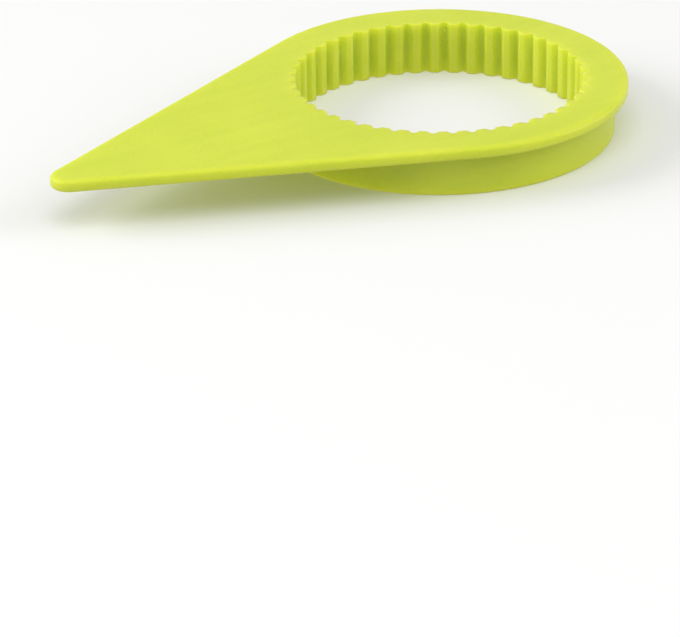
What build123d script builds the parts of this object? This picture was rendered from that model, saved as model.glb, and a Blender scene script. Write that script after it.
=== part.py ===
from build123d import *

import os
from math import acos, degrees, pi, radians, sin, sqrt, tan

# Loose wheel nut indicator: a serrated ring that grips a hex wheel nut, with a flange round its top
# that runs out into a flat pointer. The whole part is one moulding.
# Millimetres, +Z up, the pointer along -X. The origin is on the bore's axis, in the ring's lower face.

# Serrated bore, set by the nut that it grips
nut_across_flats = 33.0
tooth_count = 48  # a multiple of six, so that all the nut's corners find a groove at once
tooth_depth = 0.75  # from the tooth tips out to the groove roots
groove_angle = 75.0  # degrees between a groove's flanks
groove_root_round = 0.35
tooth_edge_bevel = 0.1
lead_in = 0.15  # bevel on the tooth ends where the nut enters
top_bevel = 0.1  # bevel on the tooth ends at the top

# Ring, measured outwards from the groove roots
ring_height = 6.9  # over the flange
skirt_wall = 3.4
skirt_draft = 0.5  # degrees, narrowing downwards
skirt_foot_bevel = 0.2

# Flange and pointer
flange_overhang = 1.65  # past the skirt
flange_thickness = 1.5
pointer_reach = 33.1  # past the flange's rim
tip_radius = 2.4
top_edge_round = 0.55
lower_edge_bevel = 0.2
under_flange_bevel = 0.15  # stiffens the corner under the flange

# No round or bevel takes more than this share of the wall that it is on
largest_share = 0.4

# Sizes that follow
root_radius = nut_across_flats / sqrt(3)  # the circle through the nut's corners
bore_radius = root_radius - tooth_depth
skirt_radius = root_radius + skirt_wall
flange_radius = skirt_radius + flange_overhang
skirt_height = ring_height - flange_thickness
foot_radius = skirt_radius - skirt_height * tan(radians(skirt_draft))
foot_bevel = min(skirt_foot_bevel, largest_share * skirt_wall)
corner_bevel = min(under_flange_bevel, largest_share * flange_overhang)
tip_distance = flange_radius + pointer_reach - tip_radius
flank_touch = degrees(acos((flange_radius - tip_radius) / tip_distance))  # where flanks meet arcs
half_angle = radians(groove_angle / 2)
groove_apex = root_radius + groove_root_round * (1 / sin(half_angle) - 1)  # before its round
groove_mouth = bore_radius - tooth_depth
mouth_half_width = (groove_apex - groove_mouth) * tan(half_angle)
land_width = 2 * pi * bore_radius / tooth_count - 2 * (groove_apex - bore_radius) * tan(half_angle)

# One groove of the bore, from inside the bore out to its rounded root
with BuildSketch() as groove:
    with BuildLine():
        Polyline(
            (groove_mouth, -mouth_half_width),
            (groove_apex, 0),
            (groove_mouth, mouth_half_width),
            close=True,
        )
    make_face()
    fillet(groove.vertices().sort_by(Axis.X)[-1], groove_root_round)

with BuildPart() as indicator:
    # Flange and pointer: one teardrop plate, a rim arc and a tip arc joined by tangent flanks
    with BuildSketch(Plane.XY.offset(skirt_height)):
        with BuildLine():
            rim = CenterArc((0, 0), flange_radius, 180 + flank_touch, 360 - 2 * flank_touch)
            tip = CenterArc((-tip_distance, 0), tip_radius, 180 - flank_touch, 2 * flank_touch)
            Line(rim @ 1, tip @ 0)
            Line(tip @ 1, rim @ 0)
        make_face()
    extrude(amount=flange_thickness)
    fillet(indicator.edges().group_by(Axis.Z)[-1], min(top_edge_round, largest_share * flange_thickness))
    chamfer(indicator.edges().group_by(Axis.Z)[0], min(lower_edge_bevel, largest_share * flange_thickness))

    # Skirt: a turned wall below the flange, drafted so that it leaves its mould, with a bevel at its
    # foot and one in the corner under the flange
    with BuildSketch(Plane.XZ):
        with BuildLine():
            Polyline(
                (0, 0),
                (foot_radius - foot_bevel, 0),
                (foot_radius, foot_bevel),
                (skirt_radius, skirt_height - corner_bevel),
                (skirt_radius + corner_bevel, skirt_height),
                (0, skirt_height),
                close=True,
            )
        make_face()
    revolve(axis=Axis.Z)

    # Serrated bore: grooves between plain lands, with a groove on the pointer's axis
    with BuildSketch() as serrations:
        Circle(bore_radius)
        with PolarLocations(0, tooth_count):
            add(groove.sketch)
        tooth_corners = serrations.vertices().sort_by_distance((0, 0, 0))[: 2 * tooth_count]
        chamfer(tooth_corners, min(tooth_edge_bevel, largest_share * land_width))
    extrude(amount=ring_height, mode=Mode.SUBTRACT)

    # Bevels on the tooth ends, cut by a cone at each mouth of the bore
    with Locations((0, 0, lead_in / 2)):
        Cone(bore_radius + lead_in, bore_radius, lead_in, mode=Mode.SUBTRACT)
    with Locations((0, 0, ring_height - top_bevel / 2)):
        Cone(bore_radius, bore_radius + top_bevel, top_bevel, mode=Mode.SUBTRACT)

indicator.part.label = "wheel_nut_indicator"

os.makedirs("parts", exist_ok=True)
export_step(indicator.part, "parts/wheel_nut_indicator.step")
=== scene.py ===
from math import cos, radians, sin

import bpy
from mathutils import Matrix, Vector


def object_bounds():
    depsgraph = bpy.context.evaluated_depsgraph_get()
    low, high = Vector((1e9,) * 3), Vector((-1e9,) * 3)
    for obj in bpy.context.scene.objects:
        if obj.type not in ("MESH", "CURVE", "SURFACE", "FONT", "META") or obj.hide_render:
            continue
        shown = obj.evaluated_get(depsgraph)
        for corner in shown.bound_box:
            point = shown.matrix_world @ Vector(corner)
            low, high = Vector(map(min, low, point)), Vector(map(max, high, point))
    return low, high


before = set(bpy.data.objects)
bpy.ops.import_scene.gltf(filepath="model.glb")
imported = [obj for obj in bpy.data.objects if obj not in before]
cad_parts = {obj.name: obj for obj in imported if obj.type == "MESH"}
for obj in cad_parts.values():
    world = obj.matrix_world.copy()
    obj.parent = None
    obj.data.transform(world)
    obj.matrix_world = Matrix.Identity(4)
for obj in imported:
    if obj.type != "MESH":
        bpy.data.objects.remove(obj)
cad_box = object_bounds()

# The picture, in pixels, and where the middle of the ring's top face lies in it
IMAGE_WIDTH = 680
IMAGE_HEIGHT = 637
RING_PIXEL = (438.85, 75.95)

# The camera, round the middle of the ring's top face
VIEW_AZIMUTH = -35.33  # degrees; 0 looks along +Y
VIEW_ELEVATION = 21.86  # degrees above the horizon
VIEW_DISTANCE = 0.5793  # metres
LENS_MM = 240.7
SENSOR_MM = 36.0
CLIP_START = 0.01  # metres

# The stage: sizes and distances in metres
FLOOR_HALF_SIZE = 6.0
FLOOR_GAP = 0.00002  # keeps the floor just below the ring's lower face
FLOOR_COLOUR = (0.9, 0.9, 0.895, 1)
FLOOR_ROUGHNESS = 0.9
FLOOR_SPECULAR = 0.1
SKY_COLOUR = (1.0, 1.0, 1.0, 1)
SKY_STRENGTH = 0.49
LIGHT_DISTANCE = 0.9
LIGHT_SIZE = 0.6

# The soft lights: degrees round the ring from the camera, degrees above the horizon, and watts
LIGHTS = {
    "left_light": {"turn": -90, "elevation": 25, "power": 5.0},
    "right_light": {"turn": 90, "elevation": 25, "power": 2.8},
    "front_light": {"turn": 0, "elevation": 60, "power": 2.3},
    "low_front_light": {"turn": 0, "elevation": 20, "power": 0.5},
}

# The moulded plastic: linear colours, and sizes in metres
PLASTIC_LIGHT = (0.662, 0.735, 0.058, 1)
PLASTIC_DEEP = (0.607, 0.695, 0.044, 1)
# The edge colour is a painted highlight: it stands in for light caught on the rounded edges
PLASTIC_EDGE_HIGHLIGHT = (0.74, 0.79, 0.1, 1)
EDGE_ROUND = 0.00012
EDGE_BEND = (1, 0.85)  # cosines of the bend from plain surface to full edge
EDGE_HIGHLIGHT_SHARE = (0, 0.6)  # of the painted edge highlight colour, over that bend
MOTTLE_SIZE = 0.011
MOTTLE_DETAIL = 3
STREAK_LENGTH = 0.03
STREAK_WIDTH = 0.0025
STREAK_DETAIL = 2
TONE_RANGE = (0.7, 1.3)  # of mottle and streak together, from deep to light
GRAIN_SIZE = 0.00028
GRAIN_DEPTH = 0.00009
GRAIN_DETAIL = 2
GRAIN_RANGE = (0.3, 0.7)  # of the grain, from smooth to rough
ROUGHNESS = (0.34, 0.48)  # over that range
WAVE_SIZE = 0.006
WAVE_DEPTH = 0.00003
WAVE_DETAIL = 1
REFRACTIVE_INDEX = 1.45
SPECULAR = 0.4
SCATTER_WEIGHT = 1.0
SCATTER_DEPTH = 0.003
SCATTER_SPREAD = (1.0, 1.0, 0.3)  # of red, green and blue

# Places of the colour sockets on Blender's Mix node
MIX_FACTOR = 0
MIX_FIRST = 6
MIX_SECOND = 7
MIX_COLOUR = 2


def direction(azimuth, elevation):
    """The unit vector from the part towards a place round it, in degrees; azimuth 0 is on the -Y side."""
    around = radians(azimuth)
    above = radians(elevation)
    return Vector((sin(around) * cos(above), -cos(around) * cos(above), sin(above)))


def place_camera(target):
    """A camera on the photograph's side of the part that shows the target at its pixel in the picture."""
    data = bpy.data.cameras.new("camera")
    data.lens = LENS_MM
    data.sensor_width = SENSOR_MM
    data.clip_start = CLIP_START
    camera = bpy.data.objects.new("camera", data)
    back = direction(VIEW_AZIMUTH, VIEW_ELEVATION)
    focal = LENS_MM / SENSOR_MM * IMAGE_WIDTH
    right = (RING_PIXEL[0] - IMAGE_WIDTH / 2) / focal
    down = (RING_PIXEL[1] - IMAGE_HEIGHT / 2) / focal
    turn = Vector((right, -down, -1)).rotation_difference(Vector((0, 0, -1)))
    camera.location = target + VIEW_DISTANCE * back
    camera.rotation_mode = "QUATERNION"
    camera.rotation_quaternion = (-back).to_track_quat("-Z", "Y") @ turn
    bpy.context.scene.collection.objects.link(camera)
    bpy.context.scene.camera = camera


def new_material(name):
    """A node material and its Principled shader."""
    material = bpy.data.materials.new(name)
    material.use_nodes = True
    return material, material.node_tree.nodes["Principled BSDF"]


class Graph:
    """The nodes of one material."""

    def __init__(self, material):
        self.tree = material.node_tree

    def add(self, kind, inputs, output, **settings):
        """Adds a node, sets or links its inputs by name or number, and gives one of its outputs."""
        node = self.tree.nodes.new(kind)
        for name, value in settings.items():
            setattr(node, name, value)
        for name, value in inputs.items():
            self.feed(node, name, value)
        return node.outputs[output]

    def feed(self, node, name, value):
        """Links an input of a node to another node's output, or sets it to a plain value."""
        if isinstance(value, bpy.types.NodeSocket):
            self.tree.links.new(value, node.inputs[name])
        else:
            node.inputs[name].default_value = value

    def noise(self, place, size, detail):
        """Soft noise whose lumps are about this size, from 0 to 1."""
        return self.add("ShaderNodeTexNoise", {"Vector": place, "Scale": 1 / size, "Detail": detail}, "Fac")

    def spread(self, value, old, new):
        """The value moved from an old range to a new one, and kept in it."""
        ends = {"From Min": old[0], "From Max": old[1], "To Min": new[0], "To Max": new[1]}
        return self.add("ShaderNodeMapRange", {"Value": value, **ends}, "Result")

    def blend(self, share, first, second):
        """A colour between two others."""
        inputs = {MIX_FACTOR: share, MIX_FIRST: first, MIX_SECOND: second}
        return self.add("ShaderNodeMix", inputs, MIX_COLOUR, data_type="RGBA")

    def bump(self, height, depth, normal):
        """The normal, tilted by a height from 0 to 1 over this depth."""
        return self.add("ShaderNodeBump", {"Height": height, "Distance": depth, "Normal": normal}, "Normal")


def moulded_plastic():
    """Fluorescent satin thermoplastic that light sinks into.

    It has soft mottling, faint flow streaks along the pointer, a painted highlight along the edges and a
    fine moulded grain.
    """
    material, shader = new_material("fluorescent_plastic")
    graph = Graph(material)
    place = graph.add("ShaderNodeTexCoord", {}, "Object")

    # Tone: soft mottling, and streaks from the plastic's flow in the mould
    mottle = graph.noise(place, MOTTLE_SIZE, MOTTLE_DETAIL)
    narrow = (STREAK_WIDTH / STREAK_LENGTH, 1, 1)
    along = graph.add("ShaderNodeVectorMath", {0: place, 1: narrow}, "Vector", operation="MULTIPLY")
    streak = graph.noise(along, STREAK_WIDTH, STREAK_DETAIL)
    both = graph.add("ShaderNodeMath", {0: mottle, 1: streak}, "Value", operation="ADD")
    tone = graph.blend(graph.spread(both, TONE_RANGE, (0, 1)), PLASTIC_DEEP, PLASTIC_LIGHT)

    # Edges: a painted highlight, paler where the rounded surface leaves the plain one
    rounded = graph.add("ShaderNodeBevel", {"Radius": EDGE_ROUND}, "Normal")
    plain = graph.add("ShaderNodeNewGeometry", {}, "Normal")
    agree = graph.add("ShaderNodeVectorMath", {0: rounded, 1: plain}, "Value", operation="DOT_PRODUCT")
    # painted highlight: the share of the pale edge colour, from how far the rounded normal bends
    edge_highlight = graph.spread(agree, EDGE_BEND, EDGE_HIGHLIGHT_SHARE)
    graph.feed(shader, "Base Color", graph.blend(edge_highlight, tone, PLASTIC_EDGE_HIGHLIGHT))

    # Surface: moulded grain on a long, shallow wave
    grain = graph.noise(place, GRAIN_SIZE, GRAIN_DETAIL)
    wave = graph.noise(place, WAVE_SIZE, WAVE_DETAIL)
    waved = graph.bump(wave, WAVE_DEPTH, rounded)
    graph.feed(shader, "Normal", graph.bump(grain, GRAIN_DEPTH, waved))
    graph.feed(shader, "Roughness", graph.spread(grain, GRAIN_RANGE, ROUGHNESS))

    # Body: how the plastic bends, reflects and scatters light, the same all over
    shader.inputs["IOR"].default_value = REFRACTIVE_INDEX
    shader.inputs["Specular IOR Level"].default_value = SPECULAR
    shader.inputs["Subsurface Weight"].default_value = SCATTER_WEIGHT
    shader.inputs["Subsurface Radius"].default_value = SCATTER_SPREAD
    shader.inputs["Subsurface Scale"].default_value = SCATTER_DEPTH
    return material


def floor():
    """A plain pale floor under the part.

    It throws no light back up, so that the part is lit as if it hung in the air.
    """
    mesh = bpy.data.meshes.new("floor")
    half = FLOOR_HALF_SIZE
    corners = [(-half, -half, 0), (half, -half, 0), (half, half, 0), (-half, half, 0)]
    mesh.from_pydata(corners, [], [(0, 1, 2, 3)])
    material, shader = new_material("floor")
    shader.inputs["Base Color"].default_value = FLOOR_COLOUR
    shader.inputs["Roughness"].default_value = FLOOR_ROUGHNESS
    shader.inputs["Specular IOR Level"].default_value = FLOOR_SPECULAR
    mesh.materials.append(material)
    plane = bpy.data.objects.new("floor", mesh)
    plane.location.z = cad_box[0].z - FLOOR_GAP
    plane.visible_diffuse = False
    bpy.context.scene.collection.objects.link(plane)


def sky():
    """Even white light from all round, as in a light tent."""
    world = bpy.data.worlds.new("sky")
    world.use_nodes = True
    background = world.node_tree.nodes["Background"]
    background.inputs["Color"].default_value = SKY_COLOUR
    background.inputs["Strength"].default_value = SKY_STRENGTH
    bpy.context.scene.world = world


def soft_light(name, target, turn, elevation, power):
    """A square soft light that shines at the target, turned so many degrees round it from the camera."""
    data = bpy.data.lights.new(name, "AREA")
    data.size = LIGHT_SIZE
    data.energy = power
    light = bpy.data.objects.new(name, data)
    back = direction(VIEW_AZIMUTH + turn, elevation)
    light.location = target + LIGHT_DISTANCE * back
    light.rotation_mode = "QUATERNION"
    light.rotation_quaternion = (-back).to_track_quat("-Z", "Y")
    bpy.context.scene.collection.objects.link(light)


ring_top = Vector((0, 0, cad_box[1].z))
place_camera(ring_top)
floor()
sky()
for light_name, light_values in LIGHTS.items():
    soft_light(light_name, ring_top, **light_values)

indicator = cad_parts["wheel_nut_indicator"]
indicator.material_slots[0].material = moulded_plastic()

bpy.context.scene.view_settings.view_transform = "Standard"
